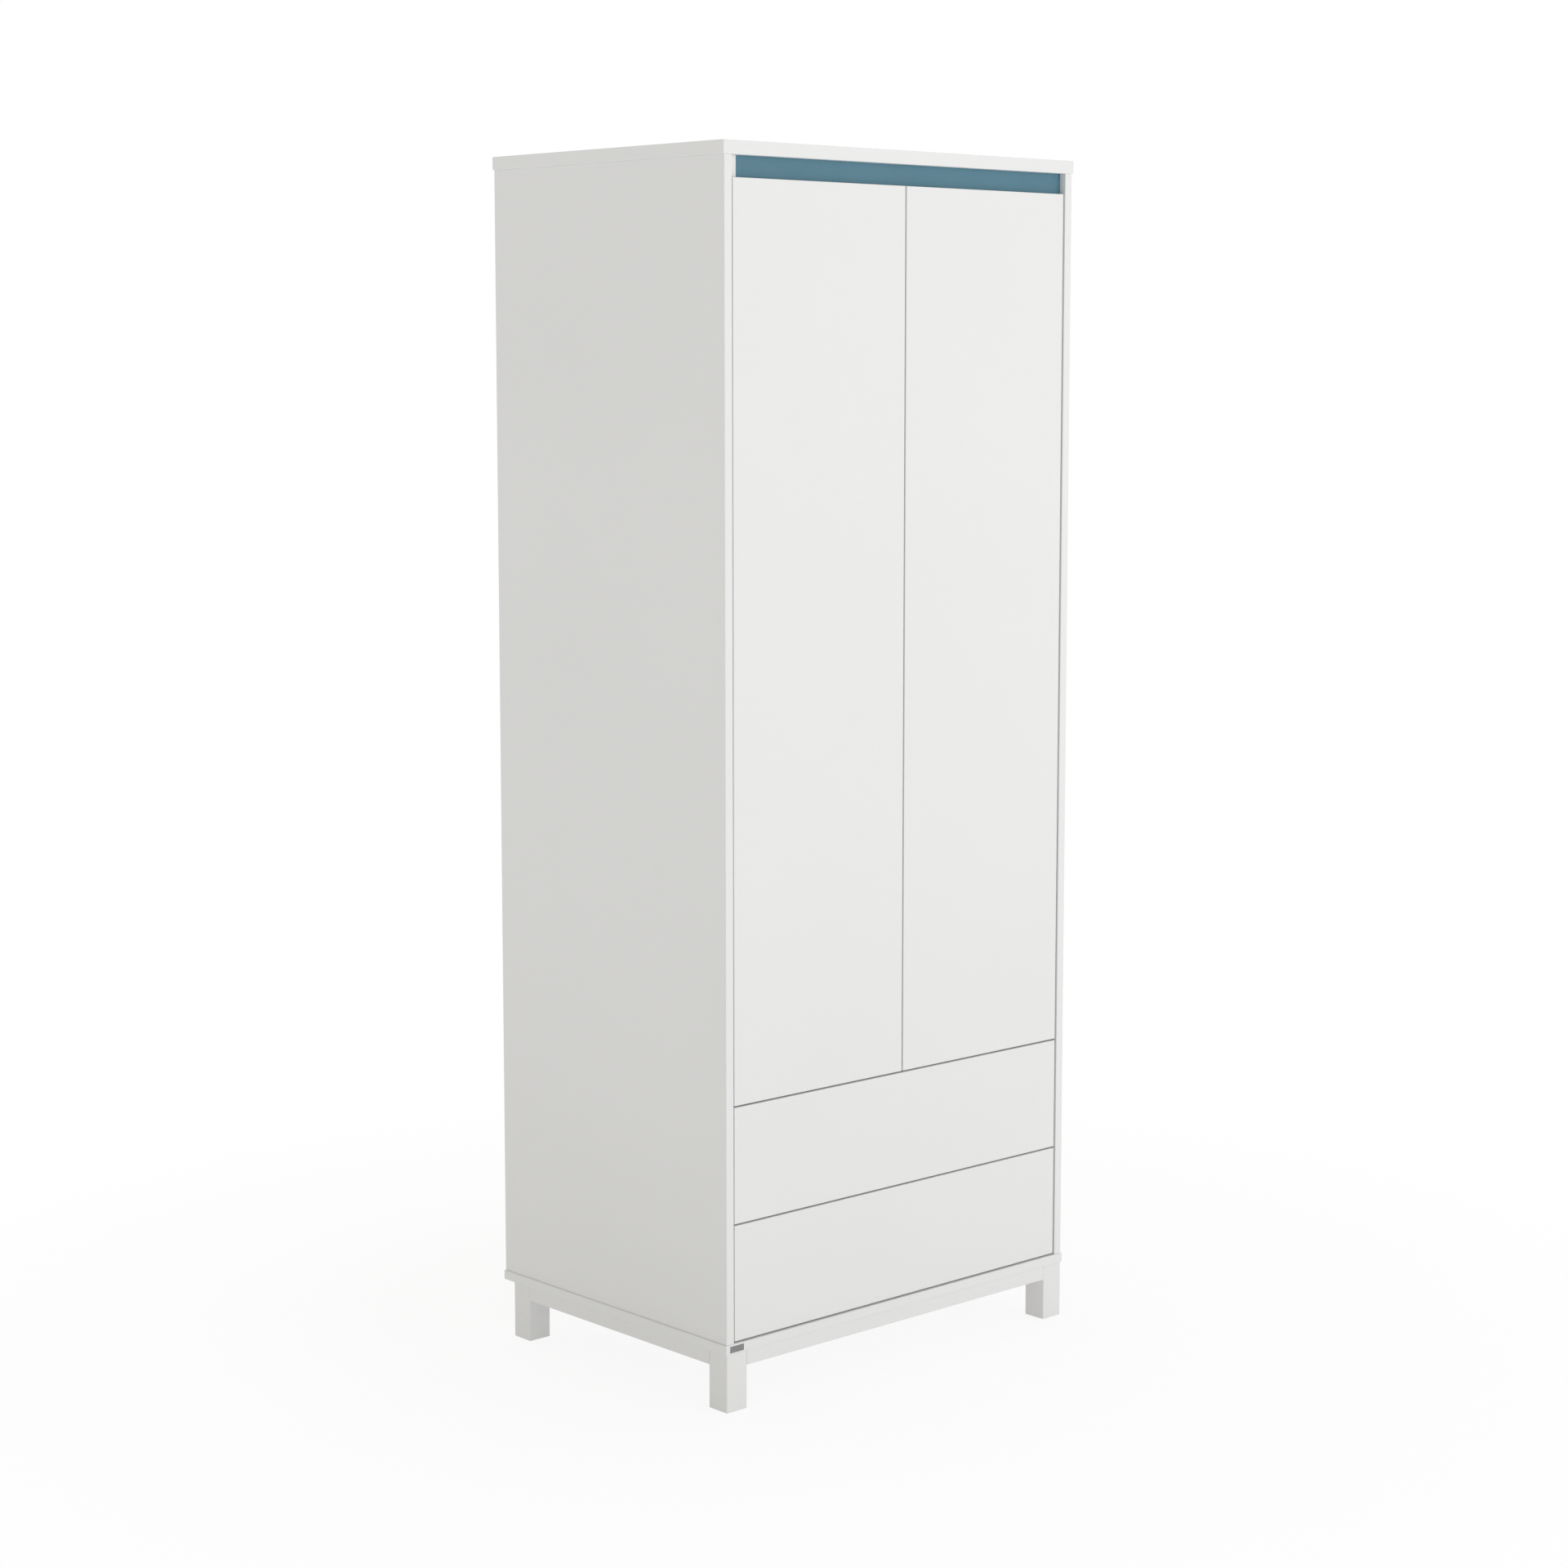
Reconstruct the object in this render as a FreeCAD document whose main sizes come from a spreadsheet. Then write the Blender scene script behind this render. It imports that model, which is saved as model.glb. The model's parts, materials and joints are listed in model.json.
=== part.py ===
import FreeCAD, Part
import os
import re

import Sketcher

# Wardrobe with two doors over two drawers, on a four-legged base.
# Millimetres. +X to the right, +Y to the back, +Z up. The origin is on the floor, under the
# middle of the top board. The front faces -Y.

doc = FreeCAD.newDocument("wardrobe")
sheet = doc.addObject("Spreadsheet::Sheet", "Dims")

DIMENSIONS = [
    # carcase
    ("overall_height", 2050),
    ("carcase_width", 800),
    ("carcase_depth", 588),
    ("board_thickness", 16),
    ("top_thickness", 22),
    ("side_overhang", 2.5),
    ("face_overhang", 1.5),
    ("edge_radius", 0.8),
    # base
    ("base_height", 100),
    ("leg_size", 44),
    ("leg_edge_radius", 1.5),
    ("base_rear_inset", 24),
    ("apron_height", 25),
    ("apron_thickness", 20),
    ("glide_radius", 12),
    ("glide_height", 2),
    ("block_size", 30),
    ("block_height", 20),
    # fronts
    ("front_thickness", 16),
    ("front_setback", 1.5),
    ("front_gap", 3),
    ("stop_gap", 2.5),
    ("drawer_front_height", 193),
    ("grip_opening", 35),
    ("door_lip", 8),
    ("door_rebate", 20),
    ("strip_depth", 12.6),
    ("strip_thickness", 3),
    ("strip_left_margin", 19.6),
    ("strip_proud", 0.4),
    ("rail_overlap", 17),
    # back sheets
    ("sheet_thickness", 3),
    ("sheet_inset", 10),
    ("groove_depth", 6),
    ("groove_play", 0.2),
    ("strip_flange", 10),
    ("strip_wall", 1),
    # inside of the hanging bay
    ("hat_space", 238),
    ("shelf_play", 1),
    ("shelf_front_inset", 44),
    ("shelf_pin_inset", 40),
    ("shelf_pin_radius", 2.5),
    ("shelf_pin_length", 16),
    ("clothes_rail_height", 30),
    ("clothes_rail_width", 15),
    ("clothes_rail_wall", 1.2),
    ("clothes_rail_drop", 36),
    ("bracket_wall", 2),
    ("bracket_reach", 12),
    # knock-down fittings
    ("bore_clearance", 0.05),
    ("cam_radius", 7.5),
    ("cam_depth", 12.5),
    ("cam_distance", 34),
    ("cam_bolt_radius", 3.5),
    ("bolt_thread_depth", 10),
    ("dowel_radius", 4),
    ("dowel_length", 30),
    ("dowel_depth", 10),
    ("cam_inset", 94),
    ("dowel_inset", 174),
    # hinges
    ("hinge_end_distance", 95),
    ("cup_radius", 17.5),
    ("cup_depth", 11.5),
    ("cup_wall", 1),
    ("cup_edge", 3),
    ("cup_flange_height", 60),
    ("cup_flange_width", 22),
    ("cup_flange_thickness", 1.2),
    ("link_pin_across", 16.5),
    ("link_pin_behind", 4),
    ("link_pin_radius", 1.5),
    ("link_pin_clearance", 0.05),
    ("link_length", 29.35),
    ("link_angle", 8.8),
    ("link_height", 6),
    ("link_thickness", 2.4),
    ("link_eye_radius", 3),
    ("arm_height", 13),
    ("arm_slot_height", 7),
    ("arm_thickness", 6),
    ("plate_setback", 11),
    ("plate_length", 36),
    ("plate_height", 50),
    ("plate_thickness", 3),
    ("bumper_radius", 3),
    ("bumper_inset", 22),
    ("screw_radius", 3),
    ("screw_head_radius", 4.5),
    ("screw_head_height", 1.5),
    ("screw_depth", 10),
    ("plate_screw_line", 10),
    ("plate_screw_rise", 16),
    # drawers
    ("runner_height", 45),
    ("runner_width", 12.7),
    ("runner_wall", 1.2),
    ("runner_play", 0.4),
    ("runner_front_gap", 4.5),
    ("runner_rear_gap", 5.5),
    ("runner_outer_gap", 2.7),
    ("runner_middle_offset", 3.6),
    ("runner_middle_gap", 0.5),
    ("runner_inner_gap", 1.2),
    ("runner_screw_inset", 60),
    ("drawer_board", 12),
    ("drawer_rear_gap", 56.5),
    ("drawer_box_height", 130),
    ("drawer_box_lift", 20),
    ("drawer_bottom_thickness", 3),
    ("drawer_bottom_lift", 10),
    # push latches
    ("latch_side_gap", 1.7),
    ("latch_height", 12),
    ("latch_length", 60),
    ("latch_setback", 6.5),
    ("latch_rise", 16),
    ("plunger_radius", 3),
    ("plunger_clearance", 0.05),
    ("plunger_length", 40),
    ("plunger_travel", 3),
    ("touch_gap", 0.3),
    # plate and wall brackets
    ("nameplate_width", 30),
    ("nameplate_height", 11),
    ("nameplate_thickness", 1),
    ("nameplate_left", 8.5),
    ("wall_bracket_spacing", 500),
    ("wall_bracket_leg", 30),
    ("wall_bracket_width", 20),
    ("wall_bracket_wall", 2),
    ("wall_bracket_hole", 2.75),
    ("wall_bracket_drop", 18),
    ("sheet_hole_radius", 4),
]

for row, (alias, value) in enumerate(DIMENSIONS, 1):
    sheet.set(f"A{row}", alias)
    sheet.set(f"B{row}", str(value))
    sheet.setAlias(f"B{row}", alias)
doc.recompute()

# Places worked out from the driving dimensions.
DERIVED = {
    "half_width": "carcase_width / 2",
    "inner_half": "half_width - board_thickness",
    "half_depth": "carcase_depth / 2",
    "front": "-half_depth",
    "bottom_top": "base_height + board_thickness",
    "top_under": "overall_height - top_thickness",
    "side_height": "top_under - bottom_top",
    # fronts
    "face": "front + front_setback",
    "face_back": "face + front_thickness",
    "fronts_half": "inner_half - front_gap",
    "lower_front": "bottom_top + front_gap",
    "upper_front": "lower_front + drawer_front_height + front_gap",
    "door_bottom": "upper_front + drawer_front_height + front_gap",
    "door_top": "top_under - grip_opening",
    "door_height": "door_top - door_bottom",
    "deck_middle": "door_bottom - front_gap / 2",
    "deck_bottom": "deck_middle - board_thickness / 2",
    "deck_front": "face_back + stop_gap",
    # back sheets
    "sheet_back": "half_depth - sheet_inset",
    "sheet_front": "sheet_back - sheet_thickness",
    "strip_front": "sheet_front - strip_wall",
    "shelf_back": "strip_front - shelf_play",
    "shelf_front": "deck_front + shelf_front_inset",
    "groove_front": "sheet_front - groove_play",
    "groove_width": "sheet_thickness + 2 * groove_play",
    "sheet_edge": "inner_half + groove_depth - groove_play",
    "sheet_bottom": "bottom_top - groove_depth + groove_play",
    "sheet_height": "side_height + 2 * (groove_depth - groove_play)",
    # grip rail
    "strip_face": "front + strip_depth",
    "rail_face": "strip_face + strip_proud",
    "rail_bottom": "door_top - rail_overlap",
    "rail_height": "top_under - rail_bottom",
    # base
    "base_back": "half_depth - base_rear_inset",
    "leg_inner": "half_width - leg_size",
    "front_leg_back": "front + leg_size",
    "back_leg_front": "base_back - leg_size",
    "apron_bottom": "base_height - apron_height",
    # inside
    "shelf_bottom": "top_under - hat_space - board_thickness",
    "clothes_rail_middle": "shelf_bottom - clothes_rail_drop - clothes_rail_height / 2",
    "panel_middle": "half_width - board_thickness / 2",
    "front_cams": "front + cam_inset",
    "back_cams": "half_depth - cam_inset",
    "front_dowels": "front + dowel_inset",
    "back_dowels": "half_depth - dowel_inset",
    "front_pins": "shelf_front + shelf_pin_inset",
    "back_pins": "shelf_back - shelf_pin_inset",
    "top_cam": "top_under - cam_distance",
    "bottom_cam": "bottom_top + cam_distance",
    "deck_cam": "inner_half - cam_distance",
    # hinges, from the outer front corner of the left door
    "door_edge": "-fronts_half",
    "cup_x": "door_edge + cup_edge + cup_radius",
    "link_pin_x": "cup_x + link_pin_across",
    "link_pin_y": "face_back + link_pin_behind",
    "plate_front": "face_back + plate_setback",
    "low_hinge": "door_bottom + hinge_end_distance",
    "high_hinge": "door_top - hinge_end_distance",
    "middle_hinge": "(low_hinge + high_hinge) / 2",
    # drawers
    "box_half": "inner_half - runner_width",
    "drawer_length": "strip_front - drawer_rear_gap - face_back",
    "runner_front": "face_back + runner_front_gap",
    "runner_length": "drawer_length - runner_front_gap - runner_rear_gap",
    "runner_outer_width": "runner_width - runner_outer_gap",
    "runner_middle_width": "runner_width - runner_middle_offset - runner_wall - runner_middle_gap",
    "runner_inner_width": "runner_width - runner_middle_offset - runner_wall - runner_inner_gap",
    "latch_width": "runner_width - latch_side_gap",
    "upper_box": "upper_front + drawer_box_lift",
    "lower_box": "lower_front + drawer_box_lift",
    "sheet_level": "drawer_bottom_lift + drawer_bottom_thickness + groove_play",
    "middle_height": "runner_height - 2 * (runner_wall + runner_play)",
    "inner_height": "middle_height - 2 * (runner_wall + runner_play)",
    "bracket_x": "wall_bracket_spacing / 2",
    "bracket_hole_z": "top_under - wall_bracket_drop",
}
ALIASES = {alias for alias, value in DIMENSIONS}


def spelled(text):
    """The formula with each derived name replaced, and each driving size read from the sheet."""

    def word(match):
        name = match.group(0)
        if name in DERIVED:
            return f"({spelled(DERIVED[name])})"
        if name in ALIASES:
            return f"Dims.{name}"
        raise NameError(name)

    return re.sub(r"(?<![a-z_])[a-z][a-z_]*(?![a-z_(])", word, str(text))


def place(obj, x, y, z):
    for axis, text in (("x", x), ("y", y), ("z", z)):
        obj.setExpression(f".Placement.Base.{axis}", spelled(text))


def box(name, x, y, z, dx, dy, dz):
    """A box from its lowest corner and its sizes, all given as formulas."""
    made = doc.addObject("Part::Box", name)
    for prop, text in (("Length", dx), ("Width", dy), ("Height", dz)):
        made.setExpression(prop, spelled(text))
    place(made, x, y, z)
    return made


TURNS = {
    "x": FreeCAD.Rotation(FreeCAD.Vector(0, 1, 0), 90),
    "y": FreeCAD.Rotation(FreeCAD.Vector(1, 0, 0), -90),
    "z": FreeCAD.Rotation(),
}


def rod(name, axis, x, y, z, radius, length):
    """A cylinder that starts at a point and runs along +axis."""
    made = doc.addObject("Part::Cylinder", name)
    made.setExpression("Radius", spelled(radius))
    made.setExpression("Height", spelled(length))
    made.Placement = FreeCAD.Placement(FreeCAD.Vector(), TURNS[axis])
    place(made, x, y, z)
    return made


def cut(name, base, *tools):
    for number, tool in enumerate(tools, 1):
        made = doc.addObject("Part::Cut", f"{name}_cut{number}")
        made.Base = base
        made.Tool = tool
        base = made
    base.Label = name
    return base


def fuse(name, pieces):
    made = doc.addObject("Part::MultiFuse", name)
    made.Shapes = pieces
    made.Refine = True
    return made


def group(name, pieces):
    made = doc.addObject("Part::Compound", name)
    made.Links = pieces
    return made


def mirror(name, source):
    """The same piece on the other side of the wardrobe's middle plane."""
    made = doc.addObject("Part::Mirroring", name)
    made.Source = source
    made.Base = FreeCAD.Vector(0, 0, 0)
    made.Normal = FreeCAD.Vector(1, 0, 0)
    return made


def both(name, source):
    return group(name, [source, mirror(f"{name}_right", source)])


def origin_plane(body, role):
    return next(item for item in body.Origin.OriginFeatures if item.Role == role)


def rectangle(body, name, support, width, depth, across="0", along="0"):
    """A sketch of one rectangle whose lowest corner stands at (across, along)."""
    sketch = body.newObject("Sketcher::SketchObject", name)
    sketch.AttachmentSupport = [(support, "")]
    sketch.MapMode = "FlatFace"
    corners = [(0, 0), (10, 0), (10, 10), (0, 10)]
    for number in range(4):
        start = FreeCAD.Vector(*corners[number], 0)
        end = FreeCAD.Vector(*corners[(number + 1) % 4], 0)
        sketch.addGeometry(Part.LineSegment(start, end), False)
    for number in range(4):
        sketch.addConstraint(Sketcher.Constraint("Coincident", number, 2, (number + 1) % 4, 1))
    for edge, kind in ((0, "Horizontal"), (2, "Horizontal"), (1, "Vertical"), (3, "Vertical")):
        sketch.addConstraint(Sketcher.Constraint(kind, edge))
    sizes = (
        ("width", Sketcher.Constraint("DistanceX", 0, 1, 0, 2, 10), width),
        ("depth", Sketcher.Constraint("DistanceY", 1, 1, 1, 2, 10), depth),
        ("across", Sketcher.Constraint("DistanceX", -1, 1, 0, 1, 0), across),
        ("along", Sketcher.Constraint("DistanceY", -1, 1, 0, 1, 0), along),
    )
    for label, constraint, text in sizes:
        index = sketch.addConstraint(constraint)
        sketch.renameConstraint(index, label)
        sketch.setExpression(f"Constraints.{label}", spelled(text))
    return sketch


def board(name, x, y, z, dx, dy, dz, radius="edge_radius"):
    """A sawn board: a padded rectangle with its edges eased, as a body of its own."""
    body = doc.addObject("PartDesign::Body", f"{name}_body")
    sketch = rectangle(body, f"{name}_outline", origin_plane(body, "XY_Plane"), dx, dy)
    pad = body.newObject("PartDesign::Pad", f"{name}_pad")
    pad.Profile = sketch
    pad.setExpression("Length", spelled(dz))
    place(body, x, y, z)
    doc.recompute()
    if radius:
        eased = body.newObject("PartDesign::Fillet", f"{name}_eased")
        edges = [f"Edge{number + 1}" for number in range(len(pad.Shape.Edges))]
        eased.Base = (pad, edges)
        eased.setExpression("Radius", spelled(radius))
        body.Tip = eased
    body.Label = name
    return body


def pocket(body, name, plane_at, x, y, dx, dy, depth, upward):
    """A rectangular pocket into a board from the level plane_at, in the board's own frame."""
    sketch = rectangle(body, f"{name}_outline", origin_plane(body, "XY_Plane"), dx, dy, x, y)
    sketch.setExpression(".AttachmentOffset.Base.z", spelled(plane_at))
    sunk = body.newObject("PartDesign::Pocket", name)
    sunk.Profile = sketch
    sunk.setExpression("Length", spelled(depth))
    sunk.Reversed = upward
    body.Tip = sunk
    return sunk


nodes = []


def keep(*pieces):
    nodes.extend(pieces)


# ---------------------------------------------------------------- fittings of the carcase
# Each fitting is a solid, and the bore that takes it is the same shape with a clearance.
left_fittings = {"cams": [], "bolts": [], "dowels": [], "pins": [], "screws": []}
left_bores = []


def fitted_rod(kind, name, axis, x, y, z, radius, length):
    solid = rod(name, axis, x, y, z, radius, length)
    bore = rod(f"{name}_bore", axis, x, y, z, f"{radius} + bore_clearance", length)
    left_fittings[kind].append(solid)
    left_bores.append(bore)


for row_name, row in (("front", "front_cams"), ("back", "back_cams")):
    fitted_rod("cams", f"top_cam_{row_name}", "x", "-inner_half - cam_depth", row, "top_cam",
               "cam_radius", "cam_depth")
    fitted_rod("bolts", f"top_bolt_{row_name}", "z", "-panel_middle", row,
               "top_cam + cam_radius + bore_clearance",
               "cam_bolt_radius", "cam_distance - cam_radius - bore_clearance + bolt_thread_depth")
    fitted_rod("cams", f"bottom_cam_{row_name}", "x", "-inner_half - cam_depth", row, "bottom_cam",
               "cam_radius", "cam_depth")
    fitted_rod("bolts", f"bottom_bolt_{row_name}", "z", "-panel_middle", row,
               "bottom_top - bolt_thread_depth",
               "cam_bolt_radius", "cam_distance - cam_radius - bore_clearance + bolt_thread_depth")
    fitted_rod("cams", f"deck_cam_{row_name}", "z", "-deck_cam", row, "deck_bottom",
               "cam_radius", "cam_depth")
    fitted_rod("bolts", f"deck_bolt_{row_name}", "x", "-inner_half - bolt_thread_depth", row,
               "deck_middle",
               "cam_bolt_radius", "cam_distance - cam_radius - bore_clearance + bolt_thread_depth")
for row_name, row in (("front", "front_dowels"), ("back", "back_dowels")):
    fitted_rod("dowels", f"top_dowel_{row_name}", "z", "-panel_middle", row,
               "top_under + dowel_depth - dowel_length", "dowel_radius", "dowel_length")
    fitted_rod("dowels", f"bottom_dowel_{row_name}", "z", "-panel_middle", row,
               "bottom_top - dowel_depth", "dowel_radius", "dowel_length")
    fitted_rod("dowels", f"deck_dowel_{row_name}", "x", "-inner_half - dowel_depth", row,
               "deck_middle", "dowel_radius", "dowel_length")
fitted_rod("dowels", "rail_dowel", "x", "-inner_half - dowel_depth",
           "rail_face + board_thickness / 2", "rail_bottom + rail_height / 2",
           "dowel_radius", "dowel_length")
for row_name, row in (("front", "front_pins"), ("back", "back_pins")):
    fitted_rod("pins", f"shelf_pin_{row_name}", "x", "-inner_half - shelf_pin_length / 2", row,
               "shelf_bottom - shelf_pin_radius", "shelf_pin_radius", "shelf_pin_length")

# ---------------------------------------------------------------- hinge plates and arms
HINGES = (("low", "low_hinge"), ("middle", "middle_hinge"), ("high", "high_hinge"))
left_plates = []
left_arms = []
left_links = []
left_cups = []
left_cup_bores = []
for hinge, height in HINGES:
    left_plates.append(
        box(f"{hinge}_plate", "-inner_half", "plate_front", f"{height} - plate_height / 2",
            "plate_thickness", "plate_length", "plate_height"))
    # The arm is bolted on the plate, steps across behind the door and forks round the link.
    foot = box(f"{hinge}_arm_foot", "-inner_half + plate_thickness", "plate_front",
               f"{height} - arm_height / 2", "arm_thickness", "plate_length", "arm_height")
    neck = box(f"{hinge}_arm_neck", "-inner_half + plate_thickness",
               "plate_front", f"{height} - arm_height / 2",
               "link_pin_x + inner_half - plate_thickness + link_eye_radius",
               "arm_thickness", "arm_height")
    nose = box(f"{hinge}_arm_nose", "link_pin_x - link_eye_radius", "link_pin_y",
               f"{height} - arm_height / 2", "2 * link_eye_radius",
               "plate_front - link_pin_y + arm_thickness", "arm_height")
    tip = rod(f"{hinge}_arm_tip", "z", "link_pin_x", "link_pin_y",
              f"{height} - arm_height / 2", "link_eye_radius", "arm_height")
    slot = box(f"{hinge}_arm_slot", "link_pin_x - 2 * link_eye_radius",
               "link_pin_y - 2 * link_eye_radius", f"{height} - arm_slot_height / 2",
               "4 * link_eye_radius", "2 * link_eye_radius + (link_eye_radius + touch_gap)",
               "arm_slot_height")
    pin = rod(f"{hinge}_arm_pin", "z", "link_pin_x", "link_pin_y",
              f"{height} - arm_height / 2", "link_pin_radius", "arm_height")
    arm = fuse(f"{hinge}_arm_solid", [foot, neck, nose, tip])
    left_arms.append(fuse(f"{hinge}_arm", [cut(f"{hinge}_arm_forked", arm, slot), pin]))
    # The link is a bar with an eye at each end, and swings on the arm's pin.
    bar = box(f"{hinge}_link_bar", 0, 0, 0, "link_length", "link_thickness", "link_height")
    bar_turn = FreeCAD.Rotation(FreeCAD.Vector(0, 0, 1), 180)
    eye = rod(f"{hinge}_link_eye", "z", "link_pin_x", "link_pin_y",
              f"{height} - link_height / 2", "link_eye_radius - touch_gap", "link_height")
    bar.Placement = FreeCAD.Placement(FreeCAD.Vector(), bar_turn)
    bar.setExpression(".Placement.Rotation.Angle", spelled("180 + link_angle"))
    place(bar, "link_pin_x - sin(link_angle) * link_thickness / 2",
          "link_pin_y + cos(link_angle) * link_thickness / 2",
          f"{height} - link_height / 2")
    end = rod(f"{hinge}_link_end", "z", "link_pin_x - cos(link_angle) * link_length",
              "link_pin_y - sin(link_angle) * link_length", f"{height} - link_height / 2",
              "link_thickness / 2", "link_height")
    pin_hole = rod(f"{hinge}_link_hole", "z", "link_pin_x", "link_pin_y",
                   f"{height} - link_height / 2", "link_pin_radius + link_pin_clearance",
                   "link_height")
    left_links.append(cut(f"{hinge}_link", fuse(f"{hinge}_link_solid", [bar, eye, end]), pin_hole))
    shell = rod(f"{hinge}_cup_shell", "y", "cup_x", "face_back - cup_depth", height,
                "cup_radius", "cup_depth")
    flange = box(f"{hinge}_cup_flange", "cup_x - cup_flange_width / 2", "face_back",
                 f"{height} - cup_flange_height / 2", "cup_flange_width",
                 "cup_flange_thickness", "cup_flange_height")
    hollow = rod(f"{hinge}_cup_hollow", "y", "cup_x", "face_back - cup_depth + cup_wall", height,
                 "cup_radius - cup_wall", "cup_depth + cup_flange_thickness")
    left_cups.append(cut(f"{hinge}_cup", fuse(f"{hinge}_cup_solid", [shell, flange]), hollow))
    left_cup_bores.append(
        rod(f"{hinge}_cup_bore", "y", "cup_x", "face_back - cup_depth", height,
            "cup_radius + bore_clearance", "cup_depth"))

# ---------------------------------------------------------------- euro screws


def euro_screw(name, y, z, clamped):
    """A screw through something of the given thickness into the left side panel."""
    shank = rod(f"{name}_shank", "x", "-inner_half - screw_depth", y, z,
                "screw_radius", f"screw_depth + {clamped}")
    head = rod(f"{name}_head", "x", f"-inner_half + {clamped}", y, z,
               "screw_head_radius", "screw_head_height")
    left_fittings["screws"].append(fuse(name, [shank, head]))
    left_bores.append(
        rod(f"{name}_bore", "x", "-inner_half - screw_depth", y, z,
            "screw_radius + bore_clearance", f"screw_depth + {clamped}"))


for hinge, height in HINGES:
    for side_name, rise in (("lower", "-plate_screw_rise"), ("upper", "plate_screw_rise")):
        euro_screw(f"{hinge}_plate_{side_name}_screw", "plate_front + plate_screw_line",
                   f"{height} + {rise}", "plate_thickness")

# ---------------------------------------------------------------- drawer runners
DRAWERS = (("upper", "upper_front", "upper_box"), ("lower", "lower_front", "lower_box"))


def channel(name, x, z, width, height, hollow_x):
    """A rolled runner member, open on one side."""
    outside = box(f"{name}_outside", x, "runner_front", f"{z} - {height} / 2",
                  width, "runner_length", height)
    hollow = box(f"{name}_hollow", hollow_x, "runner_front",
                 f"{z} - {height} / 2 + runner_wall",
                 width, "runner_length", f"{height} - 2 * runner_wall")
    return cut(name, outside, hollow)


left_outer_members = []
drawer_members = {}
middle_members = {}
for drawer, front_z, box_z in DRAWERS:
    runner_z = f"({box_z} + drawer_box_height / 2)"
    left_outer_members.append(
        channel(f"{drawer}_outer_member", "-inner_half", runner_z,
                "runner_outer_width", "runner_height", "-inner_half + runner_wall"))
    middle_members[drawer] = channel(
        f"{drawer}_middle_member", "-inner_half + runner_middle_offset", runner_z,
        "runner_middle_width", "middle_height", "-inner_half + runner_middle_offset + runner_wall")
    drawer_members[drawer] = channel(
        f"{drawer}_inner_member", "-box_half - runner_inner_width", runner_z,
        "runner_inner_width", "inner_height", "-box_half - runner_inner_width - runner_wall")
    euro_screw(f"{drawer}_runner_front_screw", "runner_front + runner_screw_inset",
               runner_z, "runner_wall")
    euro_screw(f"{drawer}_runner_back_screw", "runner_front + runner_length - runner_screw_inset",
               runner_z, "runner_wall")

# ---------------------------------------------------------------- carcase boards
left_tools = fuse("left_bores", left_bores)
right_tools = mirror("right_bores", left_tools)

top = board("top_blank", "-half_width - side_overhang", "front - face_overhang", "top_under",
            "carcase_width + 2 * side_overhang", "carcase_depth + 2 * face_overhang",
            "top_thickness")
pocket(top, "top_groove", "0", "half_width + side_overhang - sheet_edge",
       "groove_front - front + face_overhang", "2 * sheet_edge", "groove_width",
       "groove_depth", True)
bottom = board("bottom_blank", "-half_width - side_overhang", "front - face_overhang",
               "base_height", "carcase_width + 2 * side_overhang",
               "carcase_depth + 2 * face_overhang", "board_thickness")
pocket(bottom, "bottom_groove", "board_thickness - groove_depth",
       "half_width + side_overhang - sheet_edge", "groove_front - front + face_overhang",
       "2 * sheet_edge", "groove_width", "groove_depth", True)
side = board("side_blank", "-half_width", "front", "bottom_top",
             "board_thickness", "carcase_depth", "side_height")
pocket(side, "side_groove", "0", "board_thickness - groove_depth", "groove_front - front",
       "groove_depth", "groove_width", "side_height", True)
deck = board("deck_blank", "-inner_half", "deck_front", "deck_bottom",
             "2 * inner_half", "shelf_back - deck_front", "board_thickness")
rail = board("grip_rail_blank", "-inner_half", "rail_face", "rail_bottom",
             "2 * inner_half", "board_thickness", "rail_height")
# The coloured strip is let into the rail and runs out at its right end.
strip_place = ("-inner_half + strip_left_margin", "strip_face", "rail_bottom")
strip_recess = box("strip_recess", *strip_place, "2 * inner_half - strip_left_margin",
                   "strip_thickness", "rail_height")

# Wall brackets stand under the top board against the back sheets.
left_bracket_flat = box("bracket_flat", "-bracket_x - wall_bracket_width / 2",
                        "sheet_front - wall_bracket_leg", "top_under - wall_bracket_wall",
                        "wall_bracket_width", "wall_bracket_leg", "wall_bracket_wall")
left_bracket_stand = box("bracket_stand", "-bracket_x - wall_bracket_width / 2",
                         "sheet_front - wall_bracket_wall", "top_under - wall_bracket_leg",
                         "wall_bracket_width", "wall_bracket_wall", "wall_bracket_leg")
bracket_hole = rod("bracket_hole", "y", "-bracket_x", "sheet_front - wall_bracket_leg",
                   "bracket_hole_z", "wall_bracket_hole", "wall_bracket_leg")
sheet_hole = rod("sheet_hole", "y", "-bracket_x", "sheet_front - wall_bracket_wall / 2",
                 "bracket_hole_z", "sheet_hole_radius", "wall_bracket_leg")
bracket_screw_bore = rod("bracket_screw_bore", "z", "-bracket_x",
                         "sheet_front - wall_bracket_drop", "top_under - wall_bracket_wall",
                         "screw_radius + bore_clearance", "screw_depth + wall_bracket_wall")
bracket_screw = fuse("bracket_screw", [
    rod("bracket_screw_shank", "z", "-bracket_x", "sheet_front - wall_bracket_drop",
        "top_under - wall_bracket_wall", "screw_radius", "screw_depth + wall_bracket_wall"),
    rod("bracket_screw_head", "z", "-bracket_x", "sheet_front - wall_bracket_drop",
        "top_under - wall_bracket_wall - screw_head_height", "screw_head_radius",
        "screw_head_height"),
])
left_bracket = cut("left_wall_bracket", fuse("bracket_solid", [left_bracket_flat, left_bracket_stand]),
                   bracket_hole, bracket_screw_bore)
bracket_bores = both("bracket_bores", bracket_screw_bore)

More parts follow.
